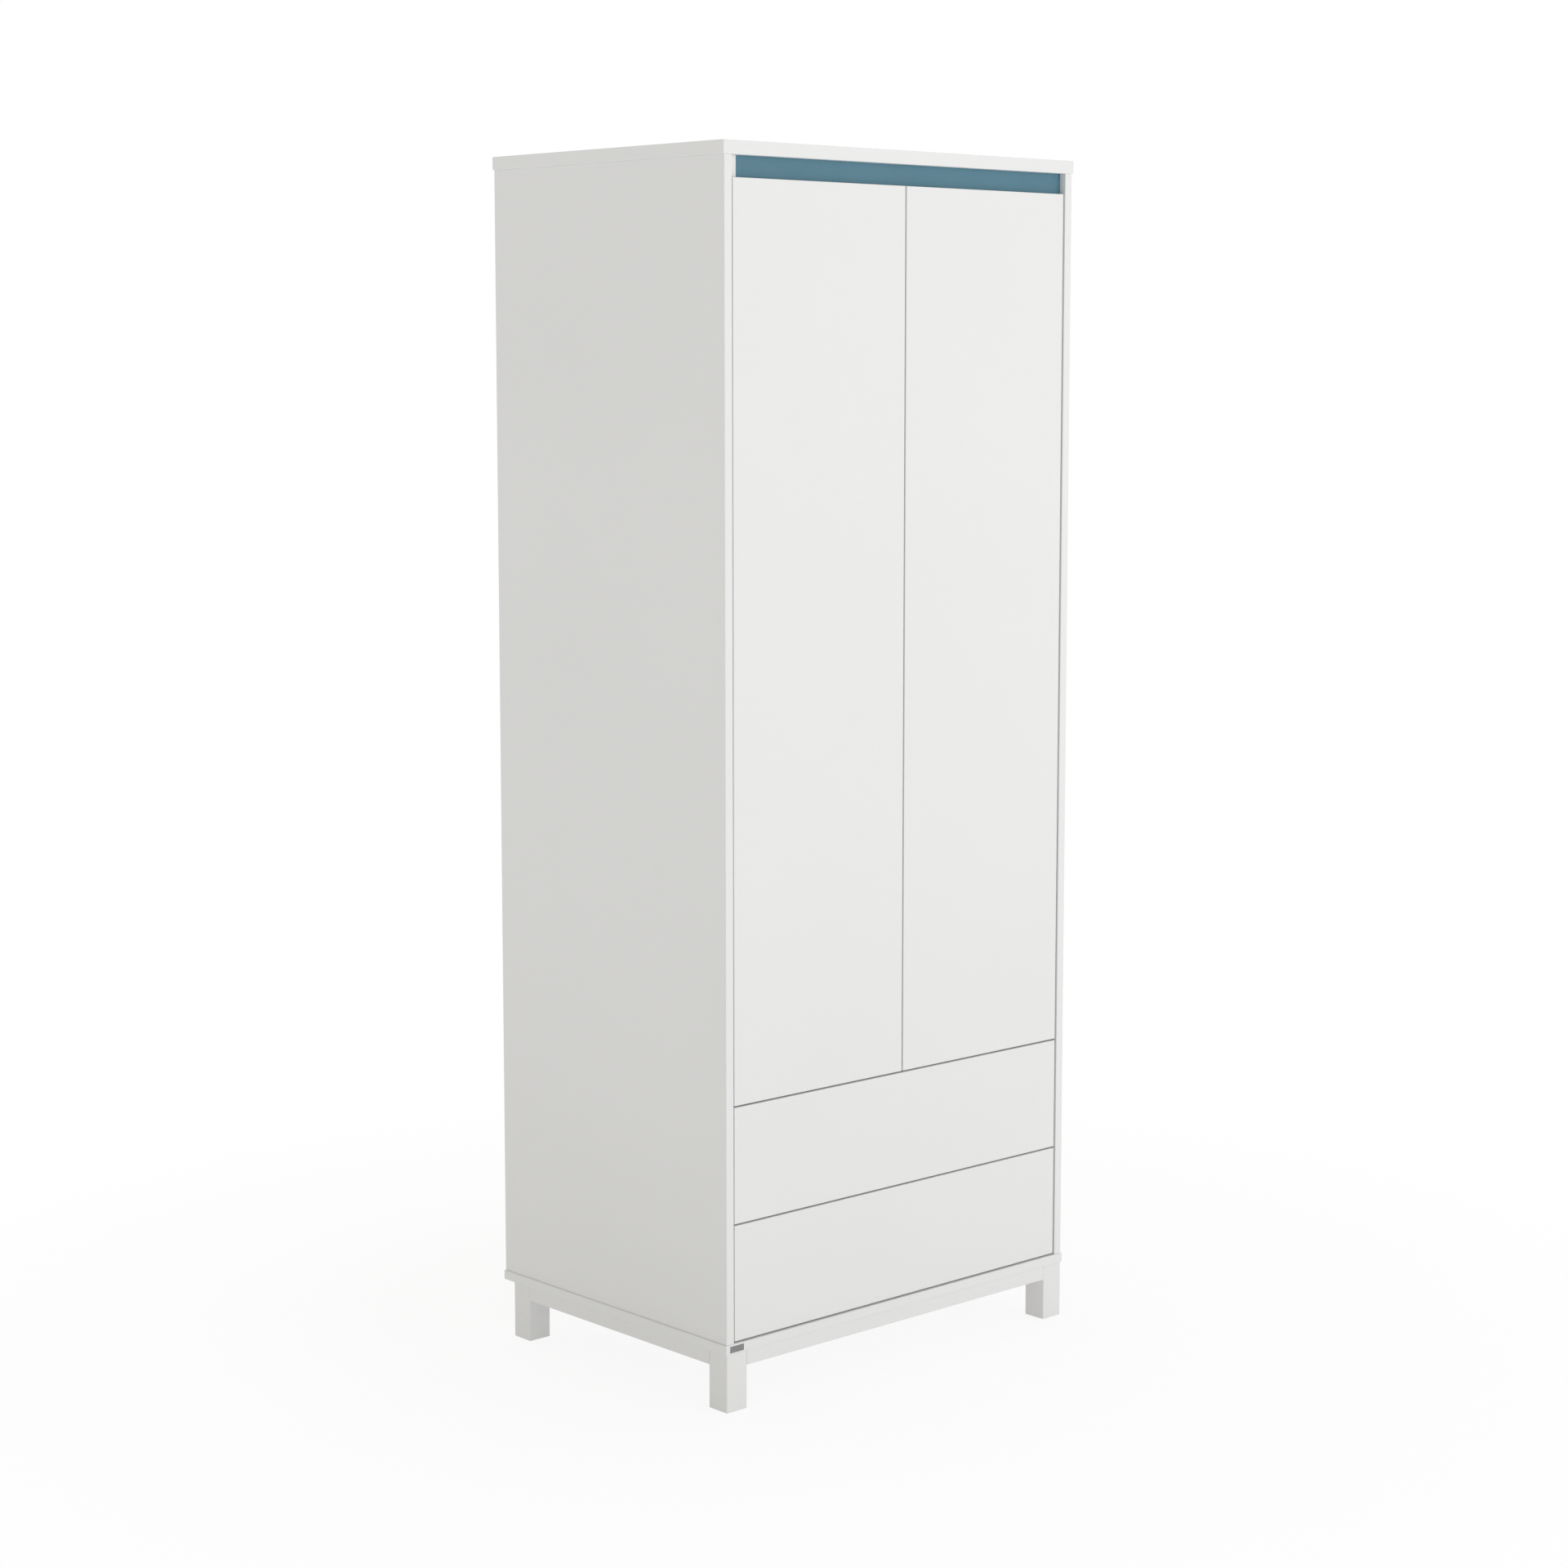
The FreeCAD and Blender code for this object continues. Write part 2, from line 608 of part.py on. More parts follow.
# Corner blocks tie the aprons and legs to the bottom board.
left_blocks = []
left_block_screws = []
left_block_bores = []
for end, block_y in (("front", "front + apron_thickness"),
                     ("back", "base_back - apron_thickness - block_size")):
    block = board(f"{end}_block_blank", "-leg_inner", block_y, "base_height - block_height",
                  "block_size", "block_size", "block_height")
    middle = ("-leg_inner + block_size / 2", f"{block_y} + block_size / 2")
    bore = rod(f"{end}_block_bore", "z", *middle, "base_height - block_height",
               "screw_radius + bore_clearance", "block_height + screw_depth")
    shank = rod(f"{end}_block_shank", "z", *middle, "base_height - block_height",
                "screw_radius", "block_height + screw_depth")
    head = rod(f"{end}_block_head", "z", *middle,
               "base_height - block_height - screw_head_height",
               "screw_head_radius", "screw_head_height")
    left_blocks.append(cut(f"{end}_block", block, bore))
    left_block_screws.append(fuse(f"{end}_block_screw", [shank, head]))
    left_block_bores.append(bore)
block_bores = both("block_bores", group("left_block_bores", left_block_bores))

plate_place = ("-half_width - side_overhang + nameplate_left", "front - face_overhang",
               "base_height + (board_thickness - nameplate_height) / 2")
plate_size = ("nameplate_width", "nameplate_thickness", "nameplate_height")
plate_recess = box("nameplate_recess", *plate_place, *plate_size)
left_side = cut("left_side_panel", side, left_tools)
keep(
    cut("top_board", top, left_tools, right_tools, bracket_bores),
    cut("bottom_board", bottom, left_tools, right_tools, block_bores, plate_recess),
    left_side,
    mirror("right_side_panel", left_side),
    cut("drawer_deck", deck, left_tools, right_tools),
    cut("grip_rail", rail, left_tools, right_tools, strip_recess),
    box("grip_strip", *strip_place, "2 * inner_half - strip_left_margin - touch_gap",
        "strip_thickness", "rail_height"),
    box("nameplate", *plate_place, *plate_size),
    both("wall_brackets", left_bracket),
    both("wall_bracket_screws", bracket_screw),
    both("corner_blocks", group("left_blocks", left_blocks)),
    both("corner_block_screws", group("left_block_screws", left_block_screws)),
)

# ---------------------------------------------------------------- back sheets
left_sheet = cut(
    "left_back_panel",
    box("left_sheet_blank", "-sheet_edge", "sheet_front", "sheet_bottom",
        "sheet_edge - strip_wall / 2 - groove_play", "sheet_thickness", "sheet_height"),
    sheet_hole)
strip_bottom = "bottom_top + groove_play"
strip_tall = "side_height - 2 * groove_play"
keep(
    left_sheet,
    mirror("right_back_panel", left_sheet),
    fuse("back_panel_strip", [
        box("strip_front_flange", "-strip_flange", "strip_front", strip_bottom,
            "2 * strip_flange", "strip_wall", strip_tall),
        box("strip_web", "-strip_wall / 2", "sheet_front", strip_bottom,
            "strip_wall", "sheet_thickness", strip_tall),
        box("strip_back_flange", "-strip_flange", "sheet_back", strip_bottom,
            "2 * strip_flange", "strip_wall", strip_tall),
    ]),
)

# ---------------------------------------------------------------- hat shelf and clothes rail
keep(board("hat_shelf", "-inner_half + shelf_play", "shelf_front", "shelf_bottom",
           "2 * (inner_half - shelf_play)", "shelf_back - shelf_front", "board_thickness"))


def oval_rod(name, x, length, grown):
    """A rod along X with a flat oval section, grown all round by the given amount."""
    round_rise = "(clothes_rail_height - clothes_rail_width) / 2"
    radius = f"clothes_rail_width / 2 + ({grown})"
    low = rod(f"{name}_low", "x", x, 0, f"clothes_rail_middle - {round_rise}", radius, length)
    high = rod(f"{name}_high", "x", x, 0, f"clothes_rail_middle + {round_rise}", radius, length)
    flat = box(f"{name}_flat", x, f"-({radius})", f"clothes_rail_middle - {round_rise}",
               length, f"2 * ({radius})", f"2 * {round_rise}")
    return fuse(name, [low, high, flat])


rail_start = "-inner_half + bracket_wall"
rail_length = "2 * (inner_half - bracket_wall)"
left_socket = cut(
    "left_rail_bracket",
    oval_rod("bracket_outside", "-inner_half", "bracket_reach", "bracket_wall + bore_clearance"),
    oval_rod("bracket_inside", rail_start, "bracket_reach", "bore_clearance"))
keep(
    cut("clothes_rail",
        oval_rod("clothes_rail_outside", rail_start, rail_length, "0"),
        oval_rod("clothes_rail_inside", rail_start, rail_length, "-clothes_rail_wall")),
    both("rail_brackets", left_socket),
)

# ---------------------------------------------------------------- base
for end, leg_y in (("front", "front"), ("back", "back_leg_front")):
    leg = board(f"{end}_left_leg", "-half_width", leg_y, "glide_height",
                "leg_size", "leg_size", "base_height - glide_height", "leg_edge_radius")
    keep(leg, mirror(f"{end}_right_leg", leg))
left_glides = []
for end, leg_y in (("front", "front"), ("back", "back_leg_front")):
    left_glides.append(rod(f"{end}_glide", "z", "-half_width + leg_size / 2",
                           f"{leg_y} + leg_size / 2", 0, "glide_radius", "glide_height"))
side_apron = board("left_apron", "-half_width", "front_leg_back", "apron_bottom",
                   "apron_thickness", "back_leg_front - front_leg_back", "apron_height")
keep(
    both("leg_glides", group("left_glides", left_glides)),
    board("front_apron", "-leg_inner", "front", "apron_bottom",
          "2 * leg_inner", "apron_thickness", "apron_height"),
    board("back_apron", "-leg_inner", "base_back - apron_thickness", "apron_bottom",
          "2 * leg_inner", "apron_thickness", "apron_height"),
    side_apron,
    mirror("right_apron", side_apron),
)

# ---------------------------------------------------------------- doors
door = board("left_door_blank", "door_edge", "face", "door_bottom",
             "fronts_half - front_gap / 2", "front_thickness", "door_height")
pocket(door, "door_rebate_pocket", "door_height - door_rebate", "0", "door_lip",
       "fronts_half - front_gap / 2", "front_thickness - door_lip", "door_rebate", True)
left_door = cut("left_door_panel", door, group("left_cup_bores", left_cup_bores))
bumper_x = "-front_gap / 2 - bumper_inset"
left_bumpers = group("left_door_bumpers", [
    rod("low_bumper", "y", bumper_x, "face_back",
        "(door_bottom + deck_bottom + board_thickness) / 2",
        "bumper_radius", "stop_gap - touch_gap"),
    rod("high_bumper", "y", bumper_x, "face + door_lip", "door_top - door_rebate / 2",
        "bumper_radius", "strip_face - face - door_lip - touch_gap"),
])
cups = group("left_hinge_cups", left_cups)
links = group("left_hinge_links", left_links)
keep(
    left_door, mirror("right_door_panel", left_door),
    cups, mirror("right_hinge_cups", cups),
    left_bumpers, mirror("right_door_bumpers", left_bumpers),
    links, mirror("right_hinge_links", links),
    both("hinge_arms", group("left_arms", left_arms)),
    both("hinge_plates", cut("left_plates_bored", group("left_plates", left_plates), left_tools)),
)

# ---------------------------------------------------------------- drawers
for drawer, front_z, box_z in DRAWERS:
    name = f"{drawer}_drawer"
    flank = board(f"{name}_left_side", "-box_half", "face_back", box_z,
                  "drawer_board", "drawer_length", "drawer_box_height")
    pocket(flank, f"{name}_side_groove", "drawer_bottom_lift - groove_play",
           "drawer_board - groove_depth", "0", "groove_depth", "drawer_length",
           "drawer_bottom_thickness + 2 * groove_play", True)
    keep(
        board(f"{name}_front", "-fronts_half", "face", front_z,
              "2 * fronts_half", "front_thickness", "drawer_front_height"),
        flank,
        mirror(f"{name}_right_side", flank),
        board(f"{name}_back", "-box_half + drawer_board",
              "face_back + drawer_length - drawer_board", f"{box_z} + sheet_level",
              "2 * (box_half - drawer_board)", "drawer_board",
              "drawer_box_height - sheet_level"),
        box(f"{name}_bottom", "-box_half + drawer_board - groove_depth + groove_play",
            "face_back + groove_play", f"{box_z} + drawer_bottom_lift",
            "2 * (box_half - drawer_board + groove_depth - groove_play)",
            "drawer_length - groove_play", "drawer_bottom_thickness"),
        both(f"{name}_runners", drawer_members[drawer]),
        both(f"{drawer}_middle_runners", middle_members[drawer]),
    )

# ---------------------------------------------------------------- push latches
housings = []
latch_x = "-inner_half + latch_width / 2"
for drawer, front_z, box_z in DRAWERS:
    latch_z = f"({box_z} + (drawer_box_height + runner_height) / 2 + latch_rise)"
    housing = box(f"{drawer}_latch_block", "-inner_half", "face_back + latch_setback",
                  f"{latch_z} - latch_height / 2", "latch_width", "latch_length", "latch_height")
    bore = rod(f"{drawer}_latch_bore", "y", latch_x, "face_back + latch_setback", latch_z,
               "plunger_radius + plunger_clearance",
               "touch_gap + plunger_length + 2 * plunger_travel - latch_setback")
    housings.append(cut(f"{drawer}_latch_housing", housing, bore))
    keep(rod(f"{drawer}_latch_plunger", "y", latch_x, "face_back + touch_gap", latch_z,
             "plunger_radius", "plunger_length"))

keep(
    group("latch_housings", housings),
    both("cabinet_runners",
         cut("left_outer_bored", group("left_outer_members", left_outer_members), left_tools)),
    both("cam_housings", group("left_cams", left_fittings["cams"])),
    both("cam_bolts", group("left_bolts", left_fittings["bolts"])),
    both("panel_dowels", group("left_dowels", left_fittings["dowels"])),
    both("shelf_pins", group("left_pins", left_fittings["pins"])),
    both("euro_screws", group("left_screws", left_fittings["screws"])),
)

# ---------------------------------------------------------------- check and write
doc.recompute()
for obj in doc.Objects:
    faults = [state for state in obj.State if state in ("Invalid", "Error")]
    if faults:
        raise RuntimeError(f"{obj.Label} is {faults}")
os.makedirs("parts", exist_ok=True)
for node in nodes:
    if node.Shape.isNull() or not node.Shape.isValid() or not node.Shape.Solids:
        raise RuntimeError(f"{node.Label} has no valid solid")
    node.Shape.exportStep(f"parts/{node.Label}.step")
print(len(nodes), "nodes,", sum(len(node.Shape.Solids) for node in nodes), "solids")
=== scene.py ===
import json
import math

import bmesh
import bpy
from mathutils import Matrix, Vector


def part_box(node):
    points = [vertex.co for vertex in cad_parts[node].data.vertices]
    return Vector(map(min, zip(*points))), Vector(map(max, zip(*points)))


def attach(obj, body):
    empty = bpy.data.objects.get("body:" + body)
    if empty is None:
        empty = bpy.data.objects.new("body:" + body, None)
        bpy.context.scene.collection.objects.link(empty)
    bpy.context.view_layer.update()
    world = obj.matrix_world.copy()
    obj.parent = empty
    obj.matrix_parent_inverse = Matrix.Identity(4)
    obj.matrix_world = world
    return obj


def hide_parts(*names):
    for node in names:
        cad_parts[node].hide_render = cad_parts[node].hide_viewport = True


# White wardrobe: two doors over two drawers on a low base. Metres, in the frame of the CAD part:
# +X to the right, +Y to the back, +Z up, the front facing -Y.

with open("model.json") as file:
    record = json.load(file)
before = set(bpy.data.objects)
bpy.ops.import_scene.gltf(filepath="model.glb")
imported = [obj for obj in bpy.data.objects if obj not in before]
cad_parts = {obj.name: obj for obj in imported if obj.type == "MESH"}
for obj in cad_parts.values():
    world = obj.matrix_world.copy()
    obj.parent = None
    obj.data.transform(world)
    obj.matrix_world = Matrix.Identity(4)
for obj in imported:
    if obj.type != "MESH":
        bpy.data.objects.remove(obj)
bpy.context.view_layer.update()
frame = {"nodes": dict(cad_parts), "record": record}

MM = 0.001

# Sockets of a Mix node that mixes colours, by index, since its inputs share their names.
FACTOR, FIRST_COLOUR, SECOND_COLOUR, MIXED_COLOUR = 0, 6, 7, 2


# ---------------------------------------------------------------- shader building blocks
class Shader:
    """A material under construction: its node tree, its principled shader and object coordinates."""

    def __init__(self, name, **constants):
        self.material = bpy.data.materials.new(name)
        self.material.use_nodes = True
        self.tree = self.material.node_tree
        self.surface = self.tree.nodes["Principled BSDF"]
        self.coordinates = self.tree.nodes.new("ShaderNodeTexCoord")
        for socket, value in constants.items():
            self.surface.inputs[socket.replace("_", " ")].default_value = value

    def node(self, kind, inputs, **settings):
        made = self.tree.nodes.new(kind)
        for key, value in settings.items():
            setattr(made, key, value)
        for key, value in inputs.items():
            if isinstance(value, bpy.types.NodeSocket):
                self.tree.links.new(value, made.inputs[key])
            else:
                made.inputs[key].default_value = value
        return made

    def stretched(self, stretch):
        """Object coordinates scaled along each axis."""
        mapping = self.node("ShaderNodeMapping", {"Vector": self.coordinates.outputs["Object"],
                                                  "Scale": stretch})
        return mapping.outputs["Vector"]

    def noise(self, scale, detail=2.0, roughness=0.5, stretch=(1, 1, 1)):
        made = self.node("ShaderNodeTexNoise", {"Vector": self.stretched(stretch), "Scale": scale,
                                                "Detail": detail, "Roughness": roughness})
        return made.outputs["Fac"]

    def remap(self, value, low, high, from_low=0.3, from_high=0.7):
        made = self.node("ShaderNodeMapRange", {"Value": value, "From Min": from_low,
                                                "From Max": from_high, "To Min": low,
                                                "To Max": high})
        return made.outputs["Result"]

    def blend(self, factor, first, second):
        """Blends two fixed colours."""
        return self.layer(factor, (*first, 1), (*second, 1))

    def layer(self, factor, first, second):
        """Blends two colours, each an output or a fixed colour with its alpha."""
        made = self.node("ShaderNodeMix", {FACTOR: factor, FIRST_COLOUR: first,
                                           SECOND_COLOUR: second}, data_type="RGBA")
        return made.outputs[MIXED_COLOUR]

    def bump(self, height, depth, normal=None):
        inputs = {"Height": height, "Strength": 1.0, "Distance": depth}
        if normal is not None:
            inputs["Normal"] = normal
        return self.node("ShaderNodeBump", inputs).outputs["Normal"]

    def plug(self, **sockets):
        for socket, output in sockets.items():
            self.tree.links.new(output, self.surface.inputs[socket.replace("_", " ")])


# ---------------------------------------------------------------- materials
def white_board():
    """Matte melamine-faced board: a fine pearl texture and the faintest clouding."""
    shader = Shader("white_board", IOR=1.47)
    clouds = shader.noise(2.2, detail=3)
    shader.plug(
        Base_Color=shader.blend(clouds, (0.815, 0.815, 0.812), (0.845, 0.845, 0.842)),
        Roughness=shader.remap(shader.noise(35, detail=3), 0.46, 0.56),
        Normal=shader.bump(shader.noise(650, detail=2), 0.02 * MM,
                           shader.bump(shader.noise(6, detail=1), 0.05 * MM)))
    return shader.material


def white_lacquer():
    """Lacquered solid wood, with the grain just telling through the paint."""
    shader = Shader("white_lacquer", IOR=1.5)
    grain = shader.noise(240, detail=4, roughness=0.6, stretch=(1, 1, 0.08))
    shader.plug(
        Base_Color=shader.blend(shader.noise(5), (0.81, 0.81, 0.805), (0.84, 0.84, 0.837)),
        Roughness=shader.remap(shader.noise(60, detail=3), 0.36, 0.48),
        Normal=shader.bump(grain, 0.03 * MM))
    return shader.material


def teal_strip():
    """Matte blue-green facing."""
    shader = Shader("teal_strip", IOR=1.45)
    shader.plug(
        Base_Color=shader.blend(shader.noise(9, detail=3), (0.078, 0.198, 0.262),
                                (0.088, 0.218, 0.286)),
        Roughness=shader.remap(shader.noise(80), 0.5, 0.6),
        Normal=shader.bump(shader.noise(700), 0.02 * MM))
    return shader.material


def white_sheet():
    """Thin fibreboard: white paint on the side that shows inside, raw fibres on the other."""
    shader = Shader("white_sheet")
    sides = shader.node("ShaderNodeSeparateXYZ", {0: shader.coordinates.outputs["Normal"]})
    backward = shader.node("ShaderNodeMath", {0: sides.outputs["Y"], 1: 0.5},
                           operation="GREATER_THAN")
    downward = shader.node("ShaderNodeMath", {0: sides.outputs["Z"], 1: -0.5},
                           operation="LESS_THAN")
    raw = shader.node("ShaderNodeMath", {0: backward.outputs[0], 1: downward.outputs[0]},
                      operation="MAXIMUM").outputs[0]
    fibres = shader.noise(420, detail=5, roughness=0.7, stretch=(1, 1, 0.55))
    paint = shader.blend(shader.noise(3), (0.79, 0.79, 0.785), (0.82, 0.82, 0.815))
    brown = shader.blend(fibres, (0.30, 0.195, 0.115), (0.47, 0.335, 0.215))
    height = shader.node("ShaderNodeMath", {0: fibres, 1: raw}, operation="MULTIPLY").outputs[0]
    shader.plug(Base_Color=shader.layer(raw, paint, brown),
                Roughness=shader.remap(raw, 0.5, 0.8, 0, 1),
                Normal=shader.bump(height, 0.12 * MM, shader.bump(shader.noise(500), 0.02 * MM)))
    return shader.material


def chrome_tube():
    """Drawn tube, chromed, with faint lengthwise polishing marks."""
    shader = Shader("chrome_tube", Metallic=1.0)
    marks = shader.noise(900, detail=2, stretch=(0.02, 1, 1))
    shader.plug(Base_Color=shader.blend(shader.noise(12), (0.72, 0.73, 0.75), (0.80, 0.81, 0.82)),
                Roughness=shader.remap(marks, 0.10, 0.22),
                Normal=shader.bump(marks, 0.004 * MM))
    return shader.material


def zinc_steel():
    """Bright zinc-plated steel: mottled, with rolling marks."""
    shader = Shader("zinc_steel", Metallic=1.0)
    mottle = shader.noise(90, detail=4, roughness=0.65)
    shader.plug(Base_Color=shader.blend(mottle, (0.52, 0.53, 0.55), (0.70, 0.71, 0.72)),
                Roughness=shader.remap(mottle, 0.26, 0.44),
                Normal=shader.bump(shader.noise(1200, stretch=(1, 0.1, 1)), 0.008 * MM))
    return shader.material


def grey_plate():
    """Grey brushed metal, left blank."""
    shader = Shader("grey_plate", Metallic=0.6)
    brushing = shader.noise(1500, detail=2, stretch=(0.05, 1, 1))
    shader.plug(Base_Color=shader.blend(brushing, (0.24, 0.24, 0.245), (0.31, 0.31, 0.315)),
                Roughness=shader.remap(brushing, 0.35, 0.5),
                Normal=shader.bump(brushing, 0.01 * MM))
    return shader.material


def beech():
    """Raw beech: pale, with short darker flecks along the grain."""
    shader = Shader("beech")
    rings = shader.noise(60, detail=4, roughness=0.55, stretch=(1, 1, 0.12))
    flecks = shader.noise(700, detail=1, stretch=(1, 1, 0.15))
    wood = shader.blend(rings, (0.55, 0.37, 0.21), (0.72, 0.54, 0.35))
    darker = shader.blend(rings, (0.42, 0.26, 0.14), (0.52, 0.35, 0.2))
    shader.plug(Base_Color=shader.layer(shader.remap(flecks, 0, 1, 0.62, 0.72), wood, darker),
                Roughness=shader.remap(rings, 0.55, 0.7),
                Normal=shader.bump(flecks, 0.05 * MM))
    return shader.material


def moulded(name, dark, light, low, high):
    """Moulded plastic with a fine spark-eroded grain."""
    shader = Shader(name, IOR=1.5)
    shader.plug(Base_Color=shader.blend(shader.noise(40), dark, light),
                Roughness=shader.remap(shader.noise(300), low, high),
                Normal=shader.bump(shader.noise(1600), 0.015 * MM))
    return shader.material


def clear_rubber():
    """Soft translucent bumper."""
    shader = Shader("clear_rubber", IOR=1.45, Transmission_Weight=0.45)
    shader.plug(Base_Color=shader.blend(shader.noise(200), (0.78, 0.79, 0.8), (0.86, 0.87, 0.88)),
                Roughness=shader.remap(shader.noise(400), 0.28, 0.4),
                Normal=shader.bump(shader.noise(900), 0.01 * MM))
    return shader.material


MATERIALS = {
    "white_board": white_board(),
    "white_lacquer": white_lacquer(),
    "teal_strip": teal_strip(),
    "white_sheet": white_sheet(),
    "chrome_tube": chrome_tube(),
    "zinc_steel": zinc_steel(),
    "grey_plate": grey_plate(),
    "beech": beech(),
    "white_plastic": moulded("white_plastic", (0.76, 0.76, 0.75), (0.80, 0.80, 0.79), 0.35, 0.5),
    "grey_plastic": moulded("grey_plastic", (0.20, 0.21, 0.22), (0.26, 0.27, 0.28), 0.4, 0.55),
    "clear_rubber": clear_rubber(),
}

for part in frame["record"]["subparts"]:
    mesh = frame["nodes"][part["node"]].data
    mesh.materials.clear()
    mesh.materials.append(MATERIALS[part["material_slot"]])


# ---------------------------------------------------------------- mesh building blocks
WELD = 0.001 * MM


def welded(node):
    """A CAD node's mesh, with the corners that its faces share made one."""
    shape = bmesh.new()
    shape.from_mesh(frame["nodes"][node].data)
    bmesh.ops.remove_doubles(shape, verts=shape.verts, dist=WELD)
    return shape


def solids(node):
    """The lowest and highest corner of each separate solid of a CAD node."""
    shape = welded(node)
    waiting = set(shape.verts)
    boxes = []
    while waiting:
        reached = [waiting.pop()]
        for vertex in reached:
            for edge in vertex.link_edges:
                other = edge.other_vert(vertex)
                if other in waiting:
                    waiting.remove(other)
                    reached.append(other)
        low = Vector([min(vertex.co[axis] for vertex in reached) for axis in range(3)])
        high = Vector([max(vertex.co[axis] for vertex in reached) for axis in range(3)])
        boxes.append((low, high))
    shape.free()
    return sorted(boxes, key=lambda pair: tuple(pair[0]))


def rounded(corners, steps=5):
    """An outline of (x, y, radius) corners, each turned with an arc."""
    outline = []
    for index, (x, y, radius) in enumerate(corners):
        here = Vector((x, y))
        before = (Vector(corners[index - 1][:2]) - here).normalized()
        after = (Vector(corners[(index + 1) % len(corners)][:2]) - here).normalized()
        half = before.angle(after) / 2
        centre = here + (before + after).normalized() * radius / math.sin(half)
        first = here + before * radius / math.tan(half) - centre
        turn = first.angle_signed(here + after * radius / math.tan(half) - centre)
        for step in range(steps + 1):
            arm = Matrix.Rotation(-turn * step / steps, 2) @ first
            outline.append(tuple(centre + arm))
    return outline


def rectangle(wide, tall, radius):
    """A rounded rectangle about the origin, given its half width and half height."""
    return rounded([(-wide, -tall, radius), (wide, -tall, radius), (wide, tall, radius),
                    (-wide, tall, radius)])


def prism(outline, low, high):
    """A flat outline raised along Z."""
    shape = bmesh.new()
    base = [shape.verts.new((x, y, low)) for x, y in outline]
    roof = [shape.verts.new((x, y, high)) for x, y in outline]
    shape.faces.new(base)
    shape.faces.new(roof)
    for index in range(len(outline)):
        after = (index + 1) % len(outline)
        shape.faces.new((base[index], base[after], roof[after], roof[index]))
    bmesh.ops.recalc_face_normals(shape, faces=shape.faces)
    return shape


def lathe(profile, steps=32):
    """(radius, height) points turned about Z. A radius of 0 closes an end."""
    shape = bmesh.new()
    rings = []
    for radius, height in profile:
        count = steps if radius else 1
        turns = [math.tau * step / steps for step in range(count)]
        rings.append([shape.verts.new((radius * math.cos(turn), radius * math.sin(turn), height))
                      for turn in turns])
    for below, above in zip(rings, rings[1:]):
        for step in range(steps):
            after = (step + 1) % steps
            corners = (below[step % len(below)], below[after % len(below)],
                       above[after % len(above)], above[step % len(above)])
            shape.faces.new(list(dict.fromkeys(corners)))
    bmesh.ops.recalc_face_normals(shape, faces=shape.faces)
    return shape


def object_of(name, shape):
    mesh = bpy.data.meshes.new(name)
    shape.to_mesh(mesh)
    made = bpy.data.objects.new(name, mesh)
    bpy.context.scene.collection.objects.link(made)
    return made


def carved(shape, *cutters):
    """The shape with each cutter taken out of it."""
    blank = object_of("blank", shape)
    tools = [object_of("tool", cutter) for cutter in cutters]
    for tool in tools:
        cut = blank.modifiers.new("cut", "BOOLEAN")
        cut.object = tool
        cut.solver = "EXACT"
    mesh = bpy.data.meshes.new_from_object(
        blank.evaluated_get(bpy.context.evaluated_depsgraph_get()))
    result = bmesh.new()
    result.from_mesh(mesh)
    for used in (blank, *tools):
        bpy.data.objects.remove(used)
    return result


def moved(shape, matrix):
    """A copy of the shape, carried by the matrix."""
    copy = shape.copy()
    bmesh.ops.transform(copy, matrix=matrix, verts=copy.verts)
    if matrix.determinant() < 0:
        bmesh.ops.reverse_faces(copy, faces=copy.faces)
    return copy


def joined(shapes):
    whole = bmesh.new()
    for shape in shapes:
        mesh = bpy.data.meshes.new("part")
        shape.to_mesh(mesh)
        whole.from_mesh(mesh)
        bpy.data.meshes.remove(mesh)
    return whole


def piece(name, shapes, body, slot, *replaced, bevel=0.0, smooth=35):
    """Puts the joined shapes into the scene, riding on a body in place of CAD nodes."""
    made = object_of(name, joined(shapes))
    made.data.materials.append(MATERIALS[slot])
    if bevel:
        eased = made.modifiers.new("eased", "BEVEL")
        eased.width = bevel
        eased.segments = 2
        eased.angle_limit = math.radians(40)
    made.data.polygons.foreach_set("use_smooth", [True] * len(made.data.polygons))
    made.data.set_sharp_from_angle(angle=math.radians(smooth))
    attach(made, body)
    if replaced:
        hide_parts(*replaced)
    return made


def facing(place, out, up=(0, 0, 1)):
    """A matrix that stands local Z along out and local Y along up, at a place."""
    z_axis = Vector(out)
    y_axis = Vector(up)
    x_axis = y_axis.cross(z_axis)
    turn = Matrix((x_axis, y_axis, z_axis)).transposed()
    return Matrix.Translation(place) @ turn.to_4x4()


def upright(axis):
    """What facing() takes as up for a piece that lies along an axis."""
    return (0, 1, 0) if axis == 2 else (0, 0, 1)


def inward(box):
    """+1 for a fitting on the left side panel, whose face looks to +X, and -1 on the right."""
    return 1 if box[0].x + box[1].x < 0 else -1


def middle(box):
    return (box[0] + box[1]) / 2


# ---------------------------------------------------------------- screws and knock-down fittings
CROSS_DEPTH = 1.1 * MM
THREAD_ROOT = 0.78  # of the shank's radius


def cross(reach, half_width, low, high):
    """The cutter of a cross recess."""
    corners = []
    for quarter in range(4):
        turn = Matrix.Rotation(math.pi / 2 * quarter, 2)
        for x, y in ((half_width, half_width), (half_width, reach), (-half_width, reach)):
            corners.append(tuple(turn @ Vector((x, y))))
    return prism(corners, low, high)


